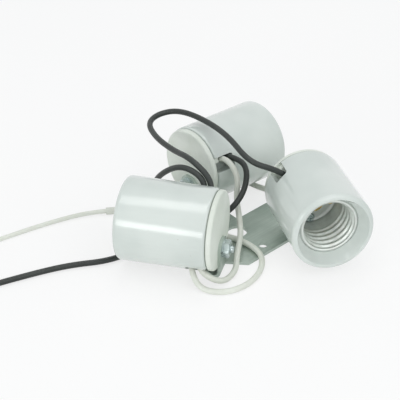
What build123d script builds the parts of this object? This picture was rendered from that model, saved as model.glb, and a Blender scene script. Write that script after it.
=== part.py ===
from build123d import *
import os
from math import cos, sin, tan, radians, sqrt, acos

# Three porcelain lamp sockets in a ring on one bent steel bracket, wired in parallel.
# Millimetres, +Z up, origin at the middle of the bracket's centre hole, on its underside.

# Sockets: direction from base to mouth, distance of the axis from the origin, start along the axis,
# turn of the body about its axis, and how far its upper wires sit from the middle of their wireway
SOCKET_PLACES = {
    "left": {"bearing": 165.0, "offset": 36.6, "start": -0.2, "roll": 50.0, "aside": 0.0},
    "back": {"bearing": 39.4, "offset": 36.1, "start": -2.3, "roll": 23.0, "aside": -2.2},
    "right": {"bearing": -74.6, "offset": 34.6, "start": -0.9, "roll": 41.0, "aside": -1.4},
}
AXIS_HEIGHT = 24.8

# Porcelain body and cap, measured along the socket's axis from the cap's outer face
SOCKET_LENGTH = 49.4
MOUTH_RADIUS = 21.3
BASE_RADIUS = 20.9
CAP_RADIUS = 20.2
CAP_THICKNESS = 3.0
CAP_ROUND = 1.1
SEAM_WIDTH = 0.6
SEAM_DEPTH = 1.6
FLOOR_LEVEL = 16.0
BOSS_RADIUS = 5.2
BOSS_HEIGHT = 4.6
LEDGE_DEPTH = 6.9
FUNNEL_TOP_RADIUS = 18.7
LIP_ROUND = 2.2

# Screw shell
SHELL_SHEET = 0.4
SHELL_ROOT_RADIUS = 13.4
THREAD_DEPTH = 1.0
SHELL_FOOT_STEP = 0.2
THREAD_PITCH = 3.63
THREAD_TURNS = 5
THREAD_FLAT = 0.7
SHELL_CLEARANCE = 0.2
RIM_WIDTH = 0.9

# Centre contact and its rivet
CONTACT_RADIUS = 4.6
CONTACT_SHEET = 0.6
RIVET_RADIUS = 1.2
RIVET_HEAD_RADIUS = 2.6
RIVET_HEAD = 1.2
RIVET_CLEARANCE = 0.1

# Eyelet in the shell's floor, away from the bracket's middle
EYELET_HEAD_RADIUS = 2.0
EYELET_HEAD = 0.7
EYELET_SHANK_RADIUS = 1.2
EYELET_SHANK = 2.2
EYELET_HOLE_RADIUS = 0.7
EYELET_EDGE = 3.4
EYELET_DROP = 2.2

# Mounting screw, seen from the mouth: below the axis and a little to the bracket's side
SCREW_EDGE = 2.7
SCREW_SHIFT = 1.0
SCREW_RADIUS = 1.75
SCREW_HEAD_RADIUS = 2.6
SCREW_HEAD = 1.6
SCREW_HOLE_CLEARANCE = 0.35
SCREW_END = 1.8
NUT_FLATS = 8.0
NUT_HEIGHT = 2.8
WASHER_RADIUS = 4.7
WASHER_SHEET = 0.8
THREAD_CLEARANCE = 0.05

# Wireways: two pockets in the base end of the body, each with bores for the wires
WIREWAY_WIDTH = 8.0
WIREWAY_END = 14.0
WIREWAY_FLOOR = 12.0
WIREWAY_ROUND = 1.5
LUG_WIDTH = 2.6
LUG_HEIGHT = 2.8
LUG_GAP = 0.4
LUG_INSET = 1.5
WIRE_PLACES = (8.0, 11.5)
BORE_END = 8.0
BORE_CLEARANCE = 0.2

# Bracket
SHEET = 1.5
BEND_RADIUS = 1.5
STRIP_BEARING = 45.4
STRIP_FRONT = -24.1
STRIP_BACK = 8.3
STRIP_HALF_LENGTH = 38.5
PLATE_LEFT = -17.0
PLATE_RIGHT = 15.7
RIGHT_END_FRONT = -16.5
ARM_START = 9.0
ARM_END = 13.0
ARM_REACH = 42.9
ARM_CORNER = 14.0
TAB_HALF_WIDTH = 6.2
TAB_TOP = 19.6
TAB_ROUND = 5.0
TAB_RELIEF = 0.5
CENTRE_HOLE_RADIUS = 5.15
EAR_HOLE_RADIUS = 2.25
EAR_HOLE_REACH = 18.2

# Wires
WIRE_RADIUS = 1.5
TAIL_RADIUS = 1.2
BEND_SHARE = 0.45
EXIT_REACH = 24.0
SHORT_EXIT_REACH = 21.0
LONG_EXIT_REACH = 25.0
SLEEVE_RADIUS = 1.9
SLEEVE_LENGTH = 5.0
BARE_RADIUS = 0.6
BARE_LENGTH = 8.0

# Levels worked out from the sizes above
LEDGE_LEVEL = SOCKET_LENGTH - LEDGE_DEPTH
SHELL_CREST_RADIUS = SHELL_ROOT_RADIUS - THREAD_DEPTH
SHELL_FOOT_RADIUS = SHELL_ROOT_RADIUS - SHELL_FOOT_STEP
SCREW_DROP = SHELL_FOOT_RADIUS - SCREW_EDGE
BORE_RADIUS = SHELL_ROOT_RADIUS + SHELL_SHEET + SHELL_CLEARANCE
BOSS_TOP = FLOOR_LEVEL + BOSS_HEIGHT
SCREW_HOLE = SCREW_RADIUS + SCREW_HOLE_CLEARANCE
SCREW_SPOT = (-SCREW_SHIFT, -SCREW_DROP)
EYELET_SPOT = (SHELL_FOOT_RADIUS - EYELET_EDGE, -EYELET_DROP)
WIREWAYS = {"upper": 180.0, "lower": 360.0}


# Frame of one socket: origin on the cap's face, x away from the bracket's middle, y up, z to the mouth
def socket_plane(side):
    place = SOCKET_PLACES[side]
    turn = radians(place["bearing"])
    along = Vector(cos(turn), sin(turn), 0)
    outward = Vector(-sin(turn), cos(turn), 0)
    origin = outward * place["offset"] + along * place["start"] + Vector(0, 0, AXIS_HEIGHT)
    return Plane(origin=origin, x_dir=outward, z_dir=along)


# Solid of revolution about the local z axis, from points given as (radius, height)
def turned(points):
    outline = Polyline(*[(radius, 0, height) for radius, height in points], close=True)
    return revolve(make_face(outline), Axis.Z)


# Round bar along local z
def bar(radius, low, high, spot=(0, 0)):
    return Pos(spot[0], spot[1], low) * Cylinder(
        radius, high - low, align=(Align.CENTER, Align.CENTER, Align.MIN))


# Circular edges of a turned solid near a given radius and height
def rims(solid, radius, height):
    return [edge for edge in solid.edges().filter_by(GeomType.CIRCLE)
            if abs(edge.radius - radius) < 0.01 and abs(edge.arc_center.Z - height) < 0.01]


# Plane of a wireway: z points straight out from the axis, y points to the mouth
def wireway_plane(side, way, level=0.0):
    turn = radians(WIREWAYS[way] - SOCKET_PLACES[side]["roll"])
    return Plane(origin=(0, 0, level), x_dir=(-sin(turn), cos(turn), 0),
                 z_dir=(cos(turn), sin(turn), 0))


# Pocket for a wireway, from its floor out past the body's surface
def wireway_pocket(side, way):
    opening = Pos(0, WIREWAY_END / 2) * RectangleRounded(WIREWAY_WIDTH, WIREWAY_END, WIREWAY_ROUND)
    tool = extrude(opening, amount=MOUTH_RADIUS)
    return wireway_plane(side, way) * (Pos(0, 0, WIREWAY_FLOOR) * tool)


# How far the wires of a wireway sit from its middle
def wire_aside(side, way):
    return SOCKET_PLACES[side]["aside"] if way == "upper" else 0.0


def socket_body(side, bores):
    body = turned([
        (0, CAP_THICKNESS), (BASE_RADIUS, CAP_THICKNESS), (MOUTH_RADIUS, SOCKET_LENGTH),
        (FUNNEL_TOP_RADIUS, SOCKET_LENGTH), (BORE_RADIUS + RIM_WIDTH + SHELL_CLEARANCE, LEDGE_LEVEL),
        (BORE_RADIUS, LEDGE_LEVEL), (BORE_RADIUS, FLOOR_LEVEL), (BOSS_RADIUS, FLOOR_LEVEL),
        (BOSS_RADIUS, BOSS_TOP), (0, BOSS_TOP)])
    body = fillet(rims(body, MOUTH_RADIUS, SOCKET_LENGTH), LIP_ROUND)
    body = fillet(rims(body, FUNNEL_TOP_RADIUS, SOCKET_LENGTH), LIP_ROUND / 6)
    body = fillet(rims(body, BASE_RADIUS, CAP_THICKNESS), LIP_ROUND / 2)
    body -= bar(SCREW_HOLE, CAP_THICKNESS, FLOOR_LEVEL, SCREW_SPOT)
    body -= bar(RIVET_RADIUS + RIVET_CLEARANCE, CAP_THICKNESS, BOSS_TOP)
    body -= bar(RIVET_HEAD_RADIUS + RIVET_CLEARANCE, CAP_THICKNESS, CAP_THICKNESS + RIVET_HEAD)
    body -= bar(EYELET_SHANK_RADIUS + RIVET_CLEARANCE, FLOOR_LEVEL - EYELET_SHANK, FLOOR_LEVEL, EYELET_SPOT)
    for way in WIREWAYS:
        body -= wireway_pocket(side, way)
    for way, level, end in bores:
        hole = bar(WIRE_RADIUS + BORE_CLEARANCE, end, WIREWAY_FLOOR + WIRE_RADIUS, (wire_aside(side, way), 0))
        body -= wireway_plane(side, way, level) * hole
    return body


# Flat cap with a step at the seam and a lug in each wireway
def socket_cap(side):
    cap = bar(CAP_RADIUS, 0, CAP_THICKNESS)
    cap = fillet(rims(cap, CAP_RADIUS, 0), CAP_ROUND)
    step = bar(CAP_RADIUS, CAP_THICKNESS - SEAM_WIDTH, CAP_THICKNESS)
    cap -= step - bar(CAP_RADIUS - SEAM_DEPTH, CAP_THICKNESS - SEAM_WIDTH, CAP_THICKNESS)
    for way in WIREWAYS:
        reach = CAP_RADIUS - WIREWAY_FLOOR - 2 * LUG_INSET
        lug = Pos(LUG_GAP - WIREWAY_WIDTH / 2, CAP_THICKNESS, WIREWAY_FLOOR + LUG_INSET) * Box(
            LUG_WIDTH, LUG_HEIGHT, reach, align=(Align.MIN, Align.MIN, Align.MIN))
        cap += wireway_plane(side, way) * lug
    cap -= bar(SCREW_HOLE, 0, CAP_THICKNESS, SCREW_SPOT)
    return cap


# Sheet-metal shell: flat floor, plain foot, rolled thread and a rim that sits on the ledge
def screw_shell():
    top = LEDGE_LEVEL - THREAD_PITCH / 4
    wall = []
    for step in range(2 * THREAD_TURNS + 1):
        radius = SHELL_CREST_RADIUS if step % 2 else SHELL_ROOT_RADIUS
        level = top - step * THREAD_PITCH / 2
        wall += [(radius, level + THREAD_FLAT / 2), (radius, level - THREAD_FLAT / 2)]
    wall.append((SHELL_FOOT_RADIUS, wall[-1][1] - THREAD_PITCH / 2))
    low = FLOOR_LEVEL
    hole = BOSS_RADIUS + SHELL_CLEARANCE
    rim = BORE_RADIUS + RIM_WIDTH
    inside = wall + [(SHELL_FOOT_RADIUS, low + SHELL_SHEET), (hole, low + SHELL_SHEET), (hole, low)]
    outside = [(SHELL_FOOT_RADIUS + SHELL_SHEET, low)]
    outside += [(radius + SHELL_SHEET, level) for radius, level in reversed(wall)]
    outside += [(SHELL_ROOT_RADIUS + SHELL_SHEET, LEDGE_LEVEL), (rim, LEDGE_LEVEL)]
    outside += [(rim, LEDGE_LEVEL + SHELL_SHEET), (SHELL_ROOT_RADIUS, LEDGE_LEVEL + SHELL_SHEET)]
    shell = turned(inside + outside) - bar(SCREW_HOLE, low, low + SHELL_SHEET, SCREW_SPOT)
    return shell - bar(EYELET_SHANK_RADIUS + RIVET_CLEARANCE, low, low + SHELL_SHEET, EYELET_SPOT)


def centre_contact():
    disc = bar(CONTACT_RADIUS, BOSS_TOP, BOSS_TOP + CONTACT_SHEET)
    disc = fillet(rims(disc, CONTACT_RADIUS, BOSS_TOP + CONTACT_SHEET), CONTACT_SHEET / 2)
    return disc - bar(RIVET_RADIUS + RIVET_CLEARANCE, BOSS_TOP, BOSS_TOP + CONTACT_SHEET)


# Rivet through the contact and the floor, with a domed head inside the socket
def contact_rivet():
    seat = BOSS_TOP + CONTACT_SHEET
    tail = CAP_THICKNESS + RIVET_HEAD
    rivet = bar(RIVET_RADIUS, CAP_THICKNESS + RIVET_CLEARANCE, seat + RIVET_HEAD)
    head = bar(RIVET_HEAD_RADIUS, seat, seat + RIVET_HEAD)
    rivet += fillet(rims(head, RIVET_HEAD_RADIUS, seat + RIVET_HEAD), RIVET_HEAD * 0.8)
    return rivet + bar(RIVET_HEAD_RADIUS, CAP_THICKNESS + RIVET_CLEARANCE, tail)


# Eyelet that holds the shell's floor down
def shell_eyelet():
    seat = FLOOR_LEVEL + SHELL_SHEET
    head = bar(EYELET_HEAD_RADIUS, seat, seat + EYELET_HEAD, EYELET_SPOT)
    head += bar(EYELET_SHANK_RADIUS, FLOOR_LEVEL - EYELET_SHANK, seat, EYELET_SPOT)
    return head - bar(EYELET_HOLE_RADIUS, seat - EYELET_HEAD, seat + EYELET_HEAD, EYELET_SPOT)


# Cross-head screw from the shell's floor out through the bracket's tab
def mounting_screw():
    seat = FLOOR_LEVEL + SHELL_SHEET
    end = -SHEET - WASHER_SHEET - NUT_HEIGHT - SCREW_END
    head = bar(SCREW_HEAD_RADIUS, seat, seat + SCREW_HEAD)
    head = fillet(rims(head, SCREW_HEAD_RADIUS, seat + SCREW_HEAD), SCREW_HEAD * 0.6)
    for long, wide in ((SCREW_HEAD_RADIUS * 1.1, 0.7), (0.7, SCREW_HEAD_RADIUS * 1.1)):
        head -= Pos(0, 0, seat + SCREW_HEAD) * Box(long, wide, SCREW_HEAD)
    shank = bar(SCREW_RADIUS, end, seat)
    shank = chamfer(rims(shank, SCREW_RADIUS, end), SCREW_RADIUS / 4)
    return Pos(SCREW_SPOT[0], SCREW_SPOT[1], 0) * (shank + head)


# Lock washer: a ring with one slanting cut
def lock_washer():
    top = -SHEET
    ring = bar(WASHER_RADIUS, top - WASHER_SHEET, top)
    ring -= bar(SCREW_RADIUS + SCREW_HOLE_CLEARANCE, top - WASHER_SHEET, top)
    cut = Pos(WASHER_RADIUS, 0, top - WASHER_SHEET / 2) * Rot(30, 0, 0) * Box(
        2 * WASHER_RADIUS - 2 * SCREW_RADIUS, 0.5, 4 * WASHER_SHEET)
    return Pos(SCREW_SPOT[0], SCREW_SPOT[1], 0) * (ring - cut)


def mounting_nut():
    top = -SHEET - WASHER_SHEET
    hexagon = RegularPolygon(NUT_FLATS / 2, 6, major_radius=False)
    nut = Pos(0, 0, top - NUT_HEIGHT) * extrude(hexagon, amount=NUT_HEIGHT)
    nut -= bar(SCREW_RADIUS + THREAD_CLEARANCE, top - NUT_HEIGHT, top)
    cone = Pos(0, 0, top - NUT_HEIGHT) * Cone(
        NUT_FLATS * 0.48, NUT_FLATS * 0.48 + NUT_HEIGHT * 1.7, NUT_HEIGHT,
        align=(Align.CENTER, Align.CENTER, Align.MIN))
    return Pos(SCREW_SPOT[0], SCREW_SPOT[1], 0) * (nut & cone)


# Point on the table from strip coordinates: u along the strip, w across it towards the back
def strip_point(u, w):
    turn = radians(STRIP_BEARING)
    return (u * cos(turn) - w * sin(turn), u * sin(turn) + w * cos(turn))


# Point on the table from a socket's own x and z
def tab_point(side, across, along):
    spot = socket_plane(side).from_local_coords(Vector(across, 0, along))
    return (spot.X, spot.Y)


# Where a tab's bend begins on the flat plate; way is +1 where the plate lies under the socket
def bend_start(way):
    return BEND_RADIUS if way > 0 else -SHEET - BEND_RADIUS


# One upright tab with its bend, in the socket's frame, with the hole for the mounting screw
def bracket_tab(side, way):
    ground = -AXIS_HEIGHT
    face = 0.0 if way > 0 else -SHEET
    back = face - way * SHEET
    foot = face + way * BEND_RADIUS
    bend_height = ground + SHEET + BEND_RADIUS
    corner = Vector(0, bend_height, foot)
    half = sqrt(0.5)
    outer = SHEET + BEND_RADIUS
    overlap = foot + way * BEND_RADIUS
    section = Wire([
        Line((0, ground, overlap), (0, ground, foot)),
        ThreePointArc((0, ground, foot), corner + Vector(0, -half, -way * half) * outer,
                      (0, bend_height, back)),
        Line((0, bend_height, back), (0, ground + TAB_TOP, back)),
        Line((0, ground + TAB_TOP, back), (0, ground + TAB_TOP, face)),
        Line((0, ground + TAB_TOP, face), (0, bend_height, face)),
        ThreePointArc((0, bend_height, face), corner + Vector(0, -half, -way * half) * BEND_RADIUS,
                      (0, ground + SHEET, foot)),
        Line((0, ground + SHEET, foot), (0, ground + SHEET, overlap)),
        Line((0, ground + SHEET, overlap), (0, ground, overlap)),
    ])
    tab = extrude(make_face(section), amount=TAB_HALF_WIDTH, dir=(1, 0, 0), both=True)
    tab = Pos(SCREW_SPOT[0], 0, 0) * tab
    tops = [edge for edge in tab.edges().filter_by(Axis.Z)
            if abs(edge.center().Y - ground - TAB_TOP) < 0.01]
    tab = fillet(tops, TAB_ROUND)
    tab -= bar(SCREW_HOLE, -SHEET, 0, SCREW_SPOT)
    return socket_plane(side) * tab


# Flat plate with an upright tab for each socket
def bracket():
    inner = SCREW_SPOT[0] - TAB_HALF_WIDTH
    outer = SCREW_SPOT[0] + TAB_HALF_WIDTH
    ways = {"left": 1, "back": 1, "right": -1}
    start = {side: bend_start(way) for side, way in ways.items()}
    reach = STRIP_HALF_LENGTH
    outline = [
        strip_point(PLATE_LEFT, STRIP_FRONT),
        strip_point(PLATE_RIGHT, STRIP_FRONT),
        tab_point("right", inner - TAB_RELIEF, 0.0),
        tab_point("right", inner - TAB_RELIEF, start["right"]),
        tab_point("right", outer, start["right"]),
        strip_point(reach, RIGHT_END_FRONT),
        strip_point(reach, STRIP_BACK),
        strip_point(ARM_START, STRIP_BACK),
        strip_point(ARM_END, ARM_REACH),
        tab_point("back", outer, start["back"]),
        tab_point("back", inner - TAB_RELIEF, start["back"]),
        tab_point("back", inner - TAB_RELIEF, start["back"] - ARM_CORNER),
        strip_point(PLATE_LEFT, STRIP_BACK),
        strip_point(-reach, STRIP_BACK),
        tab_point("left", outer, start["left"]),
        tab_point("left", inner - TAB_RELIEF, start["left"]),
    ]
    plate = extrude(make_face(Polyline(*outline, close=True)), amount=SHEET)
    for side, way in ways.items():
        plate += bracket_tab(side, way)
    plate -= bar(CENTRE_HOLE_RADIUS, 0, SHEET)
    ear = radians(STRIP_BEARING - 90)
    spot = (EAR_HOLE_REACH * cos(ear), EAR_HOLE_REACH * sin(ear))
    return plate - bar(EAR_HOLE_RADIUS, 0, SHEET, spot)


# Where a wire starts in a bore and where it leaves the socket
def wire_entry(side, way, level, end=BORE_END, reach=EXIT_REACH):
    plane = socket_plane(side)
    lane = wireway_plane(side, way, level)
    aside = wire_aside(side, way)
    return [plane.from_local_coords(lane.from_local_coords(Vector(aside, 0, depth)))
            for depth in (end, reach)]


# Wire along straight runs joined by arcs, with its radii printed
def wire(name, points, radius):
    spots = [Vector(*point) for point in points]
    radii = []
    for before, spot, after in zip(spots, spots[1:], spots[2:]):
        into, out = spot - before, after - spot
        turn = acos(max(-1, min(1, into.normalized().dot(out.normalized()))))
        radii.append(BEND_SHARE * min(into.length, out.length) / tan(turn / 2))
    path = FilletPolyline(*spots, radius=radii)
    tube = sweep(Plane(origin=spots[0], z_dir=spots[1] - spots[0]) * Circle(radius), path)
    print(name, "length", round(path.length, 1), "smallest radius", round(min(radii), 1),
          "volume ratio", round(tube.volume / (3.14159265 * radius ** 2 * path.length), 4))
    print("  route", [tuple(round(value, 1) for value in spot) for spot in spots])
    return tube


# Straight piece on the end of a route, from its last point on
def end_piece(points, radius, length):
    last, before = Vector(*points[-1]), Vector(*points[-2])
    lane = Plane(origin=last, z_dir=last - before)
    return lane * bar(radius, 0, length)


# Sleeve over the splice between the loop and the thinner lead
def lead_sleeve():
    lane = Plane(origin=SPLICE, z_dir=Vector(*WHITE_LEAD[1]) - Vector(*SPLICE))
    half = SLEEVE_LENGTH / 2
    return lane * (bar(SLEEVE_RADIUS, -half, half) - bar(WIRE_RADIUS, -half, half))


NEAR_CAP, FAR_FROM_CAP = WIRE_PLACES

# Routes between the sockets, with the points in the open chosen by hand
BLACK_LEFT_RIGHT = wire_entry("right", "upper", FAR_FROM_CAP) + [
    (5.2, -7.0, 47.0), (-5.2, 15.6, 50.0), (-18.6, 33.7, 50.0), (-31.0, 48.0, 47.0),
    (-41.5, 47.5, 45.0), (-46.8, 38.0, 44.5), (-42.2, 23.0, 44.5), (-33.0, 6.0, 46.5),
    (-24.0, -8.0, 50.0),
] + wire_entry("left", "upper", NEAR_CAP)[::-1]

BLACK_LEFT_BACK = wire_entry("left", "upper", FAR_FROM_CAP) + [
    (-28.5, -9.0, 47.2), (-41.0, 4.0, 33.0), (-44.5, 17.0, 15.0), (-45.2, 30.3, 2.4),
    (-28.9, 34.3, 2.4), (-26.1, 44.3, 1.6), (-28.4, 51.3, 2.7), (-31.9, 53.6, 8.4),
] + wire_entry("back", "lower", NEAR_CAP, reach=LONG_EXIT_REACH)[::-1]

BLACK_LEAD = wire_entry("back", "upper", FAR_FROM_CAP) + [
    (4.9, 10.5, 35.0), (4.2, 3.0, 25.5), (-3.0, -5.0, 17.8), (-15.0, -3.0, 9.0),
    (-30.0, -2.0, 3.0), (-44.0, -8.5, 1.5), (-54.0, -19.5, 1.5), (-66.0, -27.5, 1.5),
    (-84.0, -31.0, 1.5), (-102.0, -38.5, 1.5), (-119.0, -47.3, 1.5),
]

WHITE_LEFT_BACK = wire_entry("left", "lower", NEAR_CAP, reach=SHORT_EXIT_REACH) + [
    (-9.0, -48.5, 2.2), (-1.5, -38.5, 2.3), (-0.8, -27.5, 5.2), (1.6, -13.5, 8.6),
    (0.9, -3.2, 12.6), (-0.6, 4.2, 19.0), (0.4, 8.0, 30.0),
] + wire_entry("back", "upper", NEAR_CAP)[::-1]

WHITE_BACK_RIGHT = wire_entry("back", "lower", FAR_FROM_CAP) + [
    (-22.0, 66.0, 5.0), (-8.0, 68.5, 1.5), (6.0, 50.0, 1.5), (17.0, 41.0, 1.5),
    (34.0, 37.0, 1.5), (56.0, 26.0, 2.0),
] + wire_entry("right", "lower", FAR_FROM_CAP)[::-1]

SPLICE = (-66.5, 19.35, 1.95)
WHITE_LOOP = wire_entry("left", "lower", FAR_FROM_CAP, reach=SHORT_EXIT_REACH) + [
    (-19.5, -52.5, 1.7), (-7.8, -55.5, 1.5), (4.0, -49.0, 1.5), (11.3, -36.5, 1.5),
    (12.4, -24.0, 3.2), (3.5, -12.5, 3.6), (-8.5, -6.0, 3.4), (-21.0, 3.0, 3.4),
    (-38.0, 13.0, 1.9), (-56.0, 20.5, 2.0), SPLICE,
]
WHITE_LEAD = [
    SPLICE, (-77.0, 18.2, 1.9), (-94.0, 10.9, 1.4), (-110.0, 1.2, 1.3), (-124.0, -8.3, 1.3),
]

# Bores for the wires of each socket: wireway, place along the axis, inner end
BORES = {
    "left": [("upper", NEAR_CAP, BORE_END), ("upper", FAR_FROM_CAP, BORE_END),
             ("lower", NEAR_CAP, BORE_END), ("lower", FAR_FROM_CAP, BORE_END)],
    "back": [("upper", NEAR_CAP, BORE_END), ("upper", FAR_FROM_CAP, BORE_END),
             ("lower", NEAR_CAP, BORE_END), ("lower", FAR_FROM_CAP, BORE_END)],
    "right": [("upper", FAR_FROM_CAP, BORE_END), ("lower", FAR_FROM_CAP, BORE_END)],
}

nodes = {}
for side in SOCKET_PLACES:
    plane = socket_plane(side)
    nodes[side + "_socket_body"] = plane * socket_body(side, BORES[side])
    nodes[side + "_socket_cap"] = plane * socket_cap(side)
    nodes[side + "_screw_shell"] = plane * screw_shell()
    nodes[side + "_centre_contact"] = plane * centre_contact()
    nodes[side + "_contact_rivet"] = plane * contact_rivet()
    nodes[side + "_shell_eyelet"] = plane * shell_eyelet()
    nodes[side + "_mounting_screw"] = plane * mounting_screw()
    nodes[side + "_lock_washer"] = plane * lock_washer()
    nodes[side + "_mounting_nut"] = plane * mounting_nut()
nodes["bracket"] = bracket()
nodes["black_jumper_left_right"] = wire("black_jumper_left_right", BLACK_LEFT_RIGHT, WIRE_RADIUS)
nodes["black_jumper_left_back"] = wire("black_jumper_left_back", BLACK_LEFT_BACK, WIRE_RADIUS)
nodes["black_lead"] = wire("black_lead", BLACK_LEAD, WIRE_RADIUS)
nodes["white_jumper_left_back"] = wire("white_jumper_left_back", WHITE_LEFT_BACK, WIRE_RADIUS)
nodes["white_jumper_back_right"] = wire("white_jumper_back_right", WHITE_BACK_RIGHT, WIRE_RADIUS)
nodes["white_loop"] = wire("white_loop", WHITE_LOOP, WIRE_RADIUS)
nodes["white_lead"] = wire("white_lead", WHITE_LEAD, TAIL_RADIUS)
nodes["white_lead_sleeve"] = lead_sleeve()
nodes["black_lead_bare_end"] = end_piece(BLACK_LEAD, BARE_RADIUS, BARE_LENGTH)
nodes["white_lead_bare_end"] = end_piece(WHITE_LEAD, BARE_RADIUS, BARE_LENGTH)

os.makedirs("parts", exist_ok=True)
for name, solid in nodes.items():
    export_step(solid, os.path.join("parts", name + ".step"))
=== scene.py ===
from math import cos, pi, radians, sin

import bpy
from mathutils import Matrix, Vector


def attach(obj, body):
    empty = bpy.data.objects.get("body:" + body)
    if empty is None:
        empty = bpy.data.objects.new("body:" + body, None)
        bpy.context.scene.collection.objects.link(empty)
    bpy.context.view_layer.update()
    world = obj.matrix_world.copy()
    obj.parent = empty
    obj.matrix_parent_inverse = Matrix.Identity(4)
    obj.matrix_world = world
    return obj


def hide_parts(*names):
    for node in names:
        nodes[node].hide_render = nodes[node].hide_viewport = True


# Three porcelain lamp sockets on one bent bracket, with black and white wires. Metres, +Z up.
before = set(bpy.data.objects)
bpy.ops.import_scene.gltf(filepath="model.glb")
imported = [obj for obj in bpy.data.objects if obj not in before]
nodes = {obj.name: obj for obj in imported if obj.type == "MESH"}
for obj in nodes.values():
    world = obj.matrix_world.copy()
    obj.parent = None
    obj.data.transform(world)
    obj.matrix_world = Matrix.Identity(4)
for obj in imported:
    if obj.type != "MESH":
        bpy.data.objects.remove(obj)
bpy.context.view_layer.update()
scene = bpy.context.scene

# Camera
CAMERA_PLACE = (-0.01928, -0.65234, 0.42338)
CAMERA_TILT = 58.308
CAMERA_LENS = 134.78
CAMERA_SENSOR = 36.0

# Floor: half its side, its gap below the object, and how far it is lifted towards white
FLOOR_REACH = 3.0
FLOOR_DROP = 0.0001
FLOOR_LIFT = 0.7

# Background that is seen, and the room that lights the object
WHITE = (1.0, 1.0, 1.0, 1.0)
ROOM_TINT = (0.94, 0.97, 0.99, 1.0)
ROOM_STRENGTH = 0.62

# Softboxes: place, point they are aimed at, width, height and power
SOFTBOXES = {
    "overhead softbox": ((-0.10, 0.10, 1.00), (0.0, 0.0, 0.03), 1.1, 0.20, 1.9),
    "front softbox": ((-0.58, -0.86, 0.28), (0.0, 0.0, 0.03), 0.5, 0.26, 1.9),
    "fill softbox": ((0.50, -0.70, 0.90), (0.0, 0.0, 0.02), 1.0, 1.0, 3.2),
}

# Socket places: direction from base to mouth, distance of the axis from the origin, start along it
SOCKET_PLACES = {
    "left": (165.0, 0.0366, -0.0002),
    "back": (39.4, 0.0361, -0.0023),
    "right": (-74.6, 0.0346, -0.0009),
}
AXIS_HEIGHT = 0.0248

# Direction in which the bracket's strip was rolled
STRIP_BEARING = 45.4

# Screw shell
SHELL_SIZES = {
    "Root Radius": 0.0134,
    "Crest Radius": 0.0124,
    "Foot Radius": 0.0132,
    "Hole Radius": 0.0054,
    "Rim Radius": 0.0149,
    "Floor Level": 0.0164,
    "Rim Level": 0.0429,
    "Thread Pitch": 0.00363,
    "Thread Length": 0.0186,
}
SHELL_SHEET = 0.0004

# Depth at which the thread starts, and the shares of its pitch over which it rises and fades
THREAD_START = 0.0002
THREAD_RISE = 0.5
THREAD_FADE = 0.6

# Levels in the shell between which the painted shade on its floor fades out, and between which its plain
# foot ends
FLOOR_SHADE_BAND = (0.0166, 0.0185)
FOOT_BAND = (0.0236, 0.0250)

# Mesh of the shell: points round a ring, rows of each part, and how near points are joined
RING_POINTS = 145
BRIM_ROWS = 2
WALL_ROWS = 133
BASE_ROWS = 4
JOIN_REACH = 1e-6

# Wires
WIRE_RADIUS = 0.0015
TAIL_RADIUS = 0.0012
WIRE_ROUNDNESS = 6
WIRE_STEPS = 12

# Strands of a bare wire end
STRAND_SIZES = {
    "Strand Radius": 0.00019,
    "Lay Radius": 0.0004,
    "Length": 0.0079,
    "Turns": 1.6,
    "Strands": 6,
}
STRAND_SIDES = 10
STRAND_STEPS = 24

# Band that holds most values of a noise texture, and depths of the bumps
NOISE_BAND = (0.3, 0.7)
FINE_BUMP = 0.0002
GLAZE_BUMP = 0.0006


# One output of a node, with arithmetic that makes further nodes
class Value:
    def __init__(self, graph, socket):
        self.graph = graph
        self.socket = socket

    def __add__(self, other):
        return self.graph.math("ADD", self, other)

    def __sub__(self, other):
        return self.graph.math("SUBTRACT", self, other)

    def __rsub__(self, other):
        return self.graph.math("SUBTRACT", other, self)

    def __mul__(self, other):
        return self.graph.math("MULTIPLY", self, other)

    def __truediv__(self, other):
        return self.graph.math("DIVIDE", self, other)

    def __rtruediv__(self, other):
        return self.graph.math("DIVIDE", other, self)

    __radd__ = __add__
    __rmul__ = __mul__


# A node tree, with one method that makes a node, sets it up and joins its inputs
class Graph:
    def __init__(self, tree):
        self.tree = tree
        tree.nodes.clear()

    def node(self, kind, inputs=(), **settings):
        made = self.tree.nodes.new(kind)
        for name, value in settings.items():
            setattr(made, name, value)
        pairs = inputs.items() if isinstance(inputs, dict) else enumerate(inputs)
        for key, value in pairs:
            if isinstance(value, Value):
                self.tree.links.new(value.socket, made.inputs[key])
            else:
                made.inputs[key].default_value = value
        return made

    def out(self, kind, inputs=(), output=0, **settings):
        return Value(self, self.node(kind, inputs, **settings).outputs[output])

    def math(self, operation, *values):
        return self.out("ShaderNodeMath", values, operation=operation)

    # Straight change from one range to another, held at its ends
    def ramp(self, value, low, high, to_low, to_high):
        return self.out("ShaderNodeMapRange", [value, low, high, to_low, to_high])

    # The same with soft ends
    def span(self, value, low, high, to_low=0.0, to_high=1.0):
        return self.out("ShaderNodeMapRange", [value, low, high, to_low, to_high],
                        interpolation_type="SMOOTHSTEP")

    def mix(self, factor, first, second):
        inputs = {0: factor, 6: first, 7: second}
        return self.out("ShaderNodeMix", inputs, 2, data_type="RGBA")

    def noise(self, place, scale, detail=2.0, roughness=0.5):
        inputs = {"Vector": place, "Scale": scale, "Detail": detail, "Roughness": roughness}
        return self.out("ShaderNodeTexNoise", inputs)

    def cells(self, place, scale, output="Distance"):
        return self.out("ShaderNodeTexVoronoi", {"Vector": place, "Scale": scale}, output)

    def stretched(self, place, scale, turn=0.0):
        inputs = {"Vector": place, "Rotation": (0.0, 0.0, radians(turn)), "Scale": scale}
        return self.out("ShaderNodeMapping", inputs, vector_type="TEXTURE")

    def bump(self, height, strength, distance):
        inputs = {"Height": height, "Strength": strength, "Distance": distance}
        return self.out("ShaderNodeBump", inputs)

    # Several geometries as one
    def joined(self, parts):
        made = self.node("GeometryNodeJoinGeometry")
        for part in parts:
            self.tree.links.new(part.socket, made.inputs[0])
        return Value(self, made.outputs[0])


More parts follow.
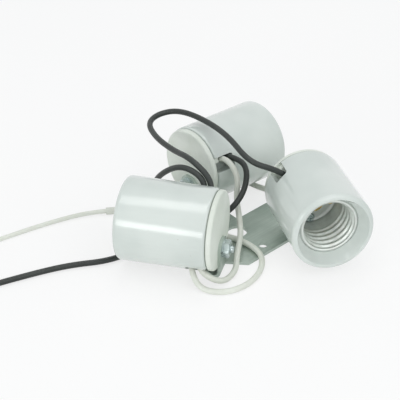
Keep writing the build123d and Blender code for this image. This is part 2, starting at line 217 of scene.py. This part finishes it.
# Colour as the screen shows it, from 0 to 255, to the linear colour that shaders take
def colour(red, green, blue):
    def linear(part):
        share = part / 255
        return share / 12.92 if share <= 0.04045 else ((share + 0.055) / 1.055) ** 2.4
    return (linear(red), linear(green), linear(blue), 1.0)


def new_material(name):
    made = bpy.data.materials.new(name)
    made.use_nodes = True
    return made, Graph(made.node_tree)


def object_place(graph):
    return graph.out("ShaderNodeTexCoord", output="Object")


# Principled shader and output for a graph
def surface(graph, **inputs):
    names = {key.replace("_", " ").title(): value for key, value in inputs.items()}
    shader = graph.out("ShaderNodeBsdfPrincipled", names)
    graph.node("ShaderNodeOutputMaterial", [shader])


# Pale glaze with a faint ripple and a few specks
def glazed_porcelain():
    made, graph = new_material("glazed porcelain")
    place = object_place(graph)
    drift = graph.span(graph.noise(place, scale=38.0), *NOISE_BAND)
    ripple = graph.noise(place, scale=210.0, detail=1.0)
    speck = graph.span(graph.cells(place, scale=260.0), 0.03, 0.07, 1.0, 0.0)
    rare = graph.span(graph.noise(place, scale=160.0, detail=0.0), 0.66, 0.72)
    tone = graph.mix(drift, colour(207, 215, 210), colour(217, 224, 219))
    tone = graph.mix(speck * rare * 0.45, tone, colour(150, 140, 120))
    surface(graph, base_color=tone, roughness=graph.span(ripple, *NOISE_BAND, 0.16, 0.24),
            coat_weight=graph.span(drift, 0.0, 1.0, 0.35, 0.6), coat_roughness=0.1,
            normal=graph.bump(ripple, strength=0.12, distance=GLAZE_BUMP))
    return made


# Matt fired clay with a fine grain
def bare_porcelain():
    made, graph = new_material("bare porcelain")
    place = object_place(graph)
    drift = graph.span(graph.noise(place, scale=55.0, detail=3.0), *NOISE_BAND)
    grain = graph.noise(place, scale=1500.0, detail=4.0, roughness=0.7)
    tone = graph.mix(drift, colour(223, 229, 219), colour(233, 238, 230))
    tone = graph.mix(graph.span(grain, 0.58, 0.75) * 0.3, tone, colour(196, 192, 178))
    surface(graph, base_color=tone, roughness=graph.span(grain, *NOISE_BAND, 0.6, 0.8),
            normal=graph.bump(grain, strength=0.25, distance=FINE_BUMP))
    return made


# Rolled sheet, patterned along the shell's own axis, duller on the floor and the plain foot, with painted
# shade darkening the colour of its floor
def aluminium_shell():
    made, graph = new_material("rolled aluminium")
    place = graph.out("ShaderNodeAttribute", output="Vector", attribute_name="own_place")
    level = graph.out("ShaderNodeSeparateXYZ", [place], "Z")
    drawn = graph.noise(graph.stretched(place, (0.02, 0.02, 0.0006)), scale=1.0, detail=3.0)
    smudge = graph.span(graph.noise(place, scale=240.0, detail=3.0), 0.4, 0.7)
    # Painted shade: the base colour turns darker on the shell's floor, down in the recess where shade
    # falls
    painted_floor_shade = graph.span(level, *FLOOR_SHADE_BAND, 1.0, 0.0)
    tone = graph.mix(drawn, colour(219, 225, 220), colour(235, 240, 235))
    tone = graph.mix(smudge * 0.35, tone, colour(190, 190, 186))
    tone = graph.mix(painted_floor_shade * 0.5, tone, colour(190, 194, 190))
    surface(graph, base_color=tone, metallic=graph.span(level, *FOOT_BAND, 0.45, 0.7),
            roughness=graph.span(drawn, *NOISE_BAND, 0.36, 0.48) + smudge * 0.1,
            normal=graph.bump(drawn, strength=0.05, distance=FINE_BUMP))
    return made


# Plain metal with drifting tone and fine scratches
def worn_metal(name, dark, light, roughness):
    made, graph = new_material(name)
    place = object_place(graph)
    drift = graph.span(graph.noise(place, scale=180.0, detail=3.0), *NOISE_BAND)
    along = graph.stretched(place, (0.03, 0.0012, 0.0012))
    scratch = graph.noise(along, scale=1.0, detail=4.0, roughness=0.65)
    tone = graph.mix(drift, colour(*dark), colour(*light))
    surface(graph, base_color=tone, metallic=0.95,
            roughness=graph.span(scratch, *NOISE_BAND, roughness - 0.08, roughness + 0.1),
            normal=graph.bump(scratch, strength=0.08, distance=FINE_BUMP))
    return made


# Dull plating with clouds, small crystals and lines along the rolled strip
def zinc_plate():
    made, graph = new_material("zinc plated sheet")
    place = object_place(graph)
    cloud = graph.span(graph.noise(place, scale=70.0, detail=4.0, roughness=0.6), *NOISE_BAND)
    along = graph.stretched(place, (0.05, 0.0009, 0.0009), STRIP_BEARING)
    rolled = graph.noise(along, scale=1.0, detail=3.0, roughness=0.6)
    fleck = graph.out("ShaderNodeSeparateColor", [graph.cells(place, 420.0, "Color")])
    tone = graph.mix(cloud, colour(171, 184, 175), colour(189, 201, 192))
    tone = graph.mix(fleck * 0.18, tone, colour(202, 212, 204))
    tone = graph.mix(graph.span(rolled, 0.35, 0.65) * 0.25, tone, colour(157, 170, 162))
    surface(graph, base_color=tone, metallic=0.6,
            roughness=graph.span(rolled, *NOISE_BAND, 0.36, 0.5) + fleck * 0.06,
            normal=graph.bump(rolled, strength=0.06, distance=FINE_BUMP))
    return made


# Satin plastic with drifting tone and handling marks
def insulation(name, dark, light, soil, roughness):
    made, graph = new_material(name)
    place = object_place(graph)
    drift = graph.span(graph.noise(place, scale=60.0, detail=3.0), *NOISE_BAND)
    skin = graph.noise(place, scale=900.0)
    mark = graph.span(graph.noise(place, scale=330.0, detail=4.0, roughness=0.7), 0.6, 0.75)
    tone = graph.mix(drift, colour(*dark), colour(*light))
    tone = graph.mix(mark * 0.3, tone, colour(*soil))
    surface(graph, base_color=tone,
            roughness=graph.span(skin, *NOISE_BAND, roughness - 0.06, roughness + 0.08),
            normal=graph.bump(skin, strength=0.08, distance=FINE_BUMP))
    return made


# 1 for the rays that show the background: from the camera, mirrored, or through something clear
def background_rays(graph):
    path = graph.node("ShaderNodeLightPath")
    seen = Value(graph, path.outputs["Is Camera Ray"])
    mirrored = Value(graph, path.outputs["Is Glossy Ray"])
    through = Value(graph, path.outputs["Is Transmission Ray"])
    return graph.math("MAXIMUM", graph.math("MAXIMUM", seen, mirrored), through)


# Matt floor, lifted towards white where it is seen or mirrored
def floor_material():
    made, graph = new_material("pale studio floor")
    drift = graph.span(graph.noise(object_place(graph), scale=3.0), *NOISE_BAND)
    tone = graph.mix(drift, colour(247, 247, 247), colour(250, 250, 249))
    shader = graph.out("ShaderNodeBsdfPrincipled", {
        "Base Color": tone, "Roughness": graph.span(drift, 0.0, 1.0, 0.7, 0.8)})
    glow = graph.out("ShaderNodeEmission", {"Color": WHITE, "Strength": 1.0})
    lift = background_rays(graph) * FLOOR_LIFT
    graph.node("ShaderNodeOutputMaterial", [graph.out("ShaderNodeMixShader", [lift, shader, glow])])
    return made


materials = {
    "glazed_porcelain": glazed_porcelain(),
    "bare_porcelain": bare_porcelain(),
    "aluminium_shell": aluminium_shell(),
    "contact_brass": worn_metal("contact brass", (222, 190, 118), (244, 220, 156), 0.26),
    "zinc_hardware": worn_metal("bright zinc", (166, 179, 179), (197, 208, 207), 0.3),
    "zinc_plate": zinc_plate(),
    "black_insulation": insulation(
        "black wire", (32, 38, 35), (46, 52, 49), (74, 79, 75), 0.42),
    "white_insulation": insulation(
        "white wire", (220, 223, 212), (231, 234, 225), (196, 192, 173), 0.45),
    "white_sleeve": insulation(
        "white sleeve", (214, 217, 207), (226, 229, 220), (190, 188, 170), 0.55),
    "tinned_copper": worn_metal("tinned copper", (190, 184, 176), (216, 206, 194), 0.34),
}

# Slots of the CAD nodes by the last words of their names
NODE_SLOTS = {
    "socket_body": "glazed_porcelain",
    "socket_cap": "bare_porcelain",
    "centre_contact": "contact_brass",
    "contact_rivet": "contact_brass",
    "shell_eyelet": "contact_brass",
    "mounting_screw": "zinc_hardware",
    "lock_washer": "zinc_hardware",
    "mounting_nut": "zinc_hardware",
    "bracket": "zinc_plate",
    "sleeve": "white_sleeve",
}


def paint(piece, slot):
    piece.data.materials.clear()
    piece.data.materials.append(materials[slot])


for node_name, node in nodes.items():
    for ending, node_slot in NODE_SLOTS.items():
        if node_name.endswith(ending):
            paint(node, node_slot)

# Camera at the photograph's viewing angle
camera_data = bpy.data.cameras.new("camera")
camera_data.lens = CAMERA_LENS
camera_data.sensor_width = CAMERA_SENSOR
camera = bpy.data.objects.new("camera", camera_data)
camera.location = CAMERA_PLACE
camera.rotation_euler = (radians(CAMERA_TILT), 0.0, 0.0)
scene.collection.objects.link(camera)
scene.camera = camera

# Wire routes: the part's own route points, with one more point inside each bore
BLACK_LEFT_RIGHT = [
    (0.03124, -0.00239, 0.03110), (0.02840, -0.00320, 0.03370), (0.01960, -0.00560, 0.04160),
    (0.0052, -0.0070, 0.0470), (-0.0052, 0.0156, 0.0500), (-0.0186, 0.0337, 0.0500),
    (-0.0310, 0.0480, 0.0470), (-0.0415, 0.0475, 0.0450), (-0.0468, 0.0380, 0.0445),
    (-0.0422, 0.0230, 0.0445), (-0.0330, 0.0060, 0.0465), (-0.0240, -0.0080, 0.0500),
    (-0.01301, -0.01843, 0.04319), (-0.01480, -0.02510, 0.03500), (-0.01568, -0.02837, 0.03093),
]
BLACK_LEFT_BACK = [
    (-0.01906, -0.02746, 0.03093), (-0.01820, -0.02420, 0.03500), (-0.01639, -0.01753, 0.04319),
    (-0.0285, -0.0090, 0.0472), (-0.0410, 0.0040, 0.0330), (-0.0445, 0.0170, 0.0150),
    (-0.0452, 0.0303, 0.0024), (-0.0289, 0.0343, 0.0024), (-0.0261, 0.0443, 0.0016),
    (-0.0284, 0.0513, 0.0027), (-0.0319, 0.0536, 0.0084), (-0.03313, 0.04930, 0.01503),
    (-0.02669, 0.04147, 0.01933), (-0.02318, 0.03720, 0.02167),
]
BLACK_LEAD = [
    (-0.01168, 0.02871, 0.02995), (-0.00940, 0.02590, 0.03150), (-0.00233, 0.01733, 0.03620),
    (0.0049, 0.0105, 0.0350), (0.0042, 0.0030, 0.0255), (-0.0030, -0.0050, 0.0178),
    (-0.0150, -0.0030, 0.0090), (-0.0300, -0.0020, 0.0030), (-0.0440, -0.0085, 0.0015),
    (-0.0540, -0.0195, 0.0015), (-0.0660, -0.0275, 0.0015), (-0.0840, -0.0310, 0.0015),
    (-0.1020, -0.0385, 0.0015), (-0.1190, -0.0473, 0.0015),
]
WHITE_LEFT_BACK = [
    (-0.01834, -0.03830, 0.01867), (-0.01866, -0.03950, 0.01720), (-0.02050, -0.04637, 0.00871),
    (-0.0090, -0.0485, 0.0022), (-0.0015, -0.0385, 0.0023), (-0.0008, -0.0275, 0.0052),
    (0.0016, -0.0135, 0.0086), (0.0009, -0.0032, 0.0126), (-0.0006, 0.0042, 0.0190),
    (0.0004, 0.0080, 0.0300), (-0.00504, 0.01511, 0.03620), (-0.01200, 0.02360, 0.03150),
    (-0.01439, 0.02649, 0.02995),
]
WHITE_BACK_RIGHT = [
    (-0.02047, 0.03942, 0.02167), (-0.02280, 0.04230, 0.02010), (-0.02983, 0.05081, 0.01542),
    (-0.0220, 0.0660, 0.0050), (-0.0080, 0.0685, 0.0015), (0.0060, 0.0500, 0.0015),
    (0.0170, 0.0410, 0.0015), (0.0340, 0.0370, 0.0015), (0.0560, 0.0260, 0.0020),
    (0.05364, 0.00378, 0.00905), (0.04500, 0.00140, 0.01690), (0.04200, 0.00057, 0.01955),
]
WHITE_LOOP = [
    (-0.02172, -0.03740, 0.01867), (-0.02250, -0.04040, 0.01500), (-0.02388, -0.04547, 0.00871),
    (-0.0195, -0.0525, 0.0017), (-0.0078, -0.0555, 0.0015), (0.0040, -0.0490, 0.0015),
    (0.0113, -0.0365, 0.0015), (0.0124, -0.0240, 0.0032), (0.0035, -0.0125, 0.0036),
    (-0.0085, -0.0060, 0.0034), (-0.0210, 0.0030, 0.0034), (-0.0380, 0.0130, 0.0019),
    (-0.0560, 0.0205, 0.0020), (-0.0665, 0.01935, 0.00195),
]
WHITE_LEAD = [
    (-0.0665, 0.01935, 0.00195), (-0.0770, 0.0182, 0.0019), (-0.0940, 0.0109, 0.0014),
    (-0.1100, 0.0012, 0.0013), (-0.1240, -0.0083, 0.0013),
]


# Puts a piece that takes the place of a CAD node under the root body, and hides that node
def declare(piece, node_name):
    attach(piece, "root")
    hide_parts(node_name)


# Wire as one open curve through its route
def wire(name, points, radius, slot):
    curve = bpy.data.curves.new(name, "CURVE")
    curve.dimensions = "3D"
    curve.bevel_depth = radius
    curve.bevel_resolution = WIRE_ROUNDNESS
    curve.use_fill_caps = True
    spline = curve.splines.new("NURBS")
    spline.points.add(len(points) - 1)
    for point, place in zip(spline.points, points):
        point.co = (*place, 1.0)
    spline.order_u = 3
    spline.use_endpoint_u = True
    spline.resolution_u = WIRE_STEPS
    made = bpy.data.objects.new(name + "_wire", curve)
    scene.collection.objects.link(made)
    paint(made, slot)
    declare(made, name)
    return made


# Object made by a geometry node tree: baked to a plain mesh in its place, modifier gone
def baked(name, graph, sizes, place):
    start = bpy.data.objects.new(name + " start", bpy.data.meshes.new(name + " start"))
    scene.collection.objects.link(start)
    modifier = start.modifiers.new("nodes", "NODES")
    modifier.node_group = graph.tree
    for item in graph.tree.interface.items_tree:
        if item.in_out == "INPUT":
            modifier[item.identifier] = sizes[item.name]
    bpy.context.view_layer.update()
    finished = start.evaluated_get(bpy.context.evaluated_depsgraph_get())
    mesh = bpy.data.meshes.new_from_object(finished)
    bpy.data.objects.remove(start)
    mesh.transform(place)
    made = bpy.data.objects.new(name, mesh)
    scene.collection.objects.link(made)
    return made


# Geometry node tree with named number inputs, as a graph and a dictionary of its inputs
def new_geometry(name, sizes):
    tree = bpy.data.node_groups.new(name, "GeometryNodeTree")
    graph = Graph(tree)
    for size_name, size in sizes.items():
        kind = "NodeSocketInt" if isinstance(size, int) else "NodeSocketFloat"
        tree.interface.new_socket(size_name, in_out="INPUT", socket_type=kind)
    tree.interface.new_socket("Geometry", in_out="OUTPUT", socket_type="NodeSocketGeometry")
    entry = graph.node("NodeGroupInput")
    return graph, {size_name: Value(graph, entry.outputs[size_name]) for size_name in sizes}


# Last nodes of a geometry tree: real geometry, smooth, with its own coordinates and its material
def close_geometry(graph, geometry, slot):
    real = graph.out("GeometryNodeRealizeInstances", [geometry])
    smooth = graph.out("GeometryNodeSetShadeSmooth", [real])
    own_place = graph.out("GeometryNodeInputPosition")
    marked = graph.out("GeometryNodeStoreNamedAttribute", {
        "Geometry": smooth, "Name": "own_place", "Value": own_place}, data_type="FLOAT_VECTOR")
    painted = graph.out("GeometryNodeSetMaterial", {
        "Geometry": marked, "Material": materials[slot]})
    graph.node("NodeGroupOutput", [painted])


# Ring surface about z: radius and level as functions of the angle and of the share along the profile
def ring_surface(graph, rows, shape):
    sheet = graph.out("GeometryNodeMeshGrid", {
        "Size X": 2 * pi, "Size Y": 1.0, "Vertices X": RING_POINTS, "Vertices Y": rows})
    parts = graph.node("ShaderNodeSeparateXYZ", [graph.out("GeometryNodeInputPosition")])
    angle = Value(graph, parts.outputs["X"])
    radius, level = shape(angle, Value(graph, parts.outputs["Y"]) + 0.5)
    place = graph.out("ShaderNodeCombineXYZ", [
        radius * graph.math("COSINE", angle), radius * graph.math("SINE", angle), level])
    return graph.out("GeometryNodeSetPosition", {"Geometry": sheet, "Position": place})


# Screw shell: rim, wall with a helical rolled thread, and floor, faces to the axis and to the mouth
def shell_tree():
    graph, size = new_geometry("threaded shell", SHELL_SIZES)
    root = size["Root Radius"]
    crest = size["Crest Radius"]
    foot = size["Foot Radius"]
    hole = size["Hole Radius"]
    floor = size["Floor Level"]
    rim = size["Rim Level"]
    pitch = size["Thread Pitch"]
    length = size["Thread Length"]

    def brim(angle, share):
        return root + (size["Rim Radius"] - root) * share, rim

    def wall(angle, share):
        level = floor + (rim - floor) * share
        depth = rim - level
        wave = graph.math("COSINE", (depth / pitch) * (2 * pi) + angle) * 0.5 + 0.5
        start = graph.ramp(depth, THREAD_START, pitch * THREAD_RISE, 0.0, 1.0)
        end = graph.ramp(depth, length - pitch * THREAD_FADE, length, 1.0, 0.0)
        plain = graph.ramp(depth, length - pitch, length, root, foot)
        threaded = crest + (root - crest) * wave
        return plain + (threaded - plain) * start * end, level

    def base(angle, share):
        return hole + (foot - hole) * share, floor

    parts = [ring_surface(graph, rows, shape) for rows, shape in (
        (BRIM_ROWS, brim), (WALL_ROWS, wall), (BASE_ROWS, base))]
    merged = graph.out("GeometryNodeMergeByDistance", {
        "Geometry": graph.joined(parts), "Distance": JOIN_REACH})
    close_geometry(graph, graph.out("GeometryNodeFlipFaces", [merged]), "aluminium_shell")
    return graph


# Frame of a socket: origin on the cap's face, x away from the bracket's middle, y up, z to the mouth
def socket_frame(side):
    bearing, offset, start = SOCKET_PLACES[side]
    turn = radians(bearing)
    along = Vector((cos(turn), sin(turn), 0.0))
    outward = Vector((-sin(turn), cos(turn), 0.0))
    origin = outward * offset + along * start + Vector((0.0, 0.0, AXIS_HEIGHT))
    axes = Matrix((outward, Vector((0.0, 0.0, 1.0)), along)).transposed()
    return Matrix.Translation(origin) @ axes.to_4x4()


# Bare end of a stranded wire: strands laid in a helix round one straight strand
def strand_tree():
    graph, size = new_geometry("twisted strands", STRAND_SIZES)
    section = graph.out("GeometryNodeCurvePrimitiveCircle", {
        "Resolution": STRAND_SIDES, "Radius": size["Strand Radius"]})
    helix = graph.out("GeometryNodeCurveSpiral", {
        "Resolution": STRAND_STEPS, "Rotations": size["Turns"], "Start Radius": size["Lay Radius"],
        "End Radius": size["Lay Radius"], "Height": size["Length"]})
    core = graph.out("GeometryNodeCurvePrimitiveLine", {
        "End": graph.out("ShaderNodeCombineXYZ", [0.0, 0.0, size["Length"]])})
    strand = graph.out("GeometryNodeCurveToMesh", {
        "Curve": helix, "Profile Curve": section, "Fill Caps": True})
    middle = graph.out("GeometryNodeCurveToMesh", {
        "Curve": core, "Profile Curve": section, "Fill Caps": True})
    index = graph.out("GeometryNodeInputIndex")
    turn = graph.out("ShaderNodeCombineXYZ", [0.0, 0.0, index * (2 * pi) / size["Strands"]])
    spots = graph.out("GeometryNodePoints", {"Count": size["Strands"]})
    ring = graph.out("GeometryNodeInstanceOnPoints", {
        "Points": spots, "Instance": strand, "Rotation": turn})
    close_geometry(graph, graph.joined([ring, middle]), "tinned_copper")
    return graph


# Frame at the end of a wire, z along it
def end_frame(points):
    last = Vector(points[-1])
    along = (last - Vector(points[-2])).normalized()
    return Matrix.Translation(last) @ along.to_track_quat("Z", "Y").to_matrix().to_4x4()


shell_graph = shell_tree()
for side in SOCKET_PLACES:
    shell = baked(side + "_threaded_shell", shell_graph, SHELL_SIZES, socket_frame(side))
    thickness = shell.modifiers.new("sheet", "SOLIDIFY")
    thickness.thickness = SHELL_SHEET
    thickness.offset = -1.0
    declare(shell, side + "_screw_shell")

strand_graph = strand_tree()
bare_ends = {}
for lead, points in (("black_lead", BLACK_LEAD), ("white_lead", WHITE_LEAD)):
    strands = baked(lead + "_strands", strand_graph, STRAND_SIZES, end_frame(points))
    declare(strands, lead + "_bare_end")
    bare_ends[lead] = strands

# Every wire: route, radius, slot, length, what the far end is, and the pieces on it
WIRES = {
    "black_jumper_left_right": (
        BLACK_LEFT_RIGHT, WIRE_RADIUS, "black_insulation", 0.1987, "object", []),
    "black_jumper_left_back": (
        BLACK_LEFT_BACK, WIRE_RADIUS, "black_insulation", 0.1536, "object", []),
    "black_lead": (
        BLACK_LEAD, WIRE_RADIUS, "black_insulation", 0.1814, "bare", [bare_ends["black_lead"]]),
    "white_jumper_left_back": (
        WHITE_LEFT_BACK, WIRE_RADIUS, "white_insulation", 0.1195, "object", []),
    "white_jumper_back_right": (
        WHITE_BACK_RIGHT, WIRE_RADIUS, "white_insulation", 0.1615, "object", []),
    "white_loop": (
        WHITE_LOOP, WIRE_RADIUS, "white_insulation", 0.1669, "fitting", [nodes["white_lead_sleeve"]]),
    "white_lead": (
        WHITE_LEAD, TAIL_RADIUS, "white_insulation", 0.0646, "bare", [bare_ends["white_lead"]]),
}
for wire_name, (points, radius, wire_slot, length, far_end, pieces) in WIRES.items():
    made_wire = wire(wire_name, points, radius, wire_slot)
    2 * radius

# Floor
floor_corners = [(x * FLOOR_REACH, y * FLOOR_REACH, 0.0) for x, y in ((-1, -1), (1, -1), (1, 1), (-1, 1))]
floor_mesh = bpy.data.meshes.new("floor")
floor_mesh.from_pydata(floor_corners, [], [(0, 1, 2, 3)])
floor_mesh.materials.append(floor_material())
studio_floor = bpy.data.objects.new("floor", floor_mesh)
studio_floor.location.z = -FLOOR_DROP
scene.collection.objects.link(studio_floor)


# Soft light aimed at the object
def softbox(name, place, target, width, height, power):
    light = bpy.data.lights.new(name, "AREA")
    light.shape = "RECTANGLE"
    light.size = width
    light.size_y = height
    light.energy = power
    made = bpy.data.objects.new(name, light)
    made.location = place
    made.rotation_euler = (Vector(target) - Vector(place)).to_track_quat("-Z", "Y").to_euler()
    scene.collection.objects.link(made)


for light_name, settings in SOFTBOXES.items():
    softbox(light_name, *settings)

# White background, and a cool even room for the light that reaches the object
world = bpy.data.worlds.new("studio")
world.use_nodes = True
scene.world = world
sky = Graph(world.node_tree)
backdrop = sky.out("ShaderNodeBackground", {"Color": WHITE, "Strength": 1.0})
room = sky.out("ShaderNodeBackground", {"Color": ROOM_TINT, "Strength": ROOM_STRENGTH})
mixed = sky.out("ShaderNodeMixShader", [background_rays(sky), room, backdrop])
sky.node("ShaderNodeOutputWorld", [mixed])

scene.view_settings.view_transform = "Standard"
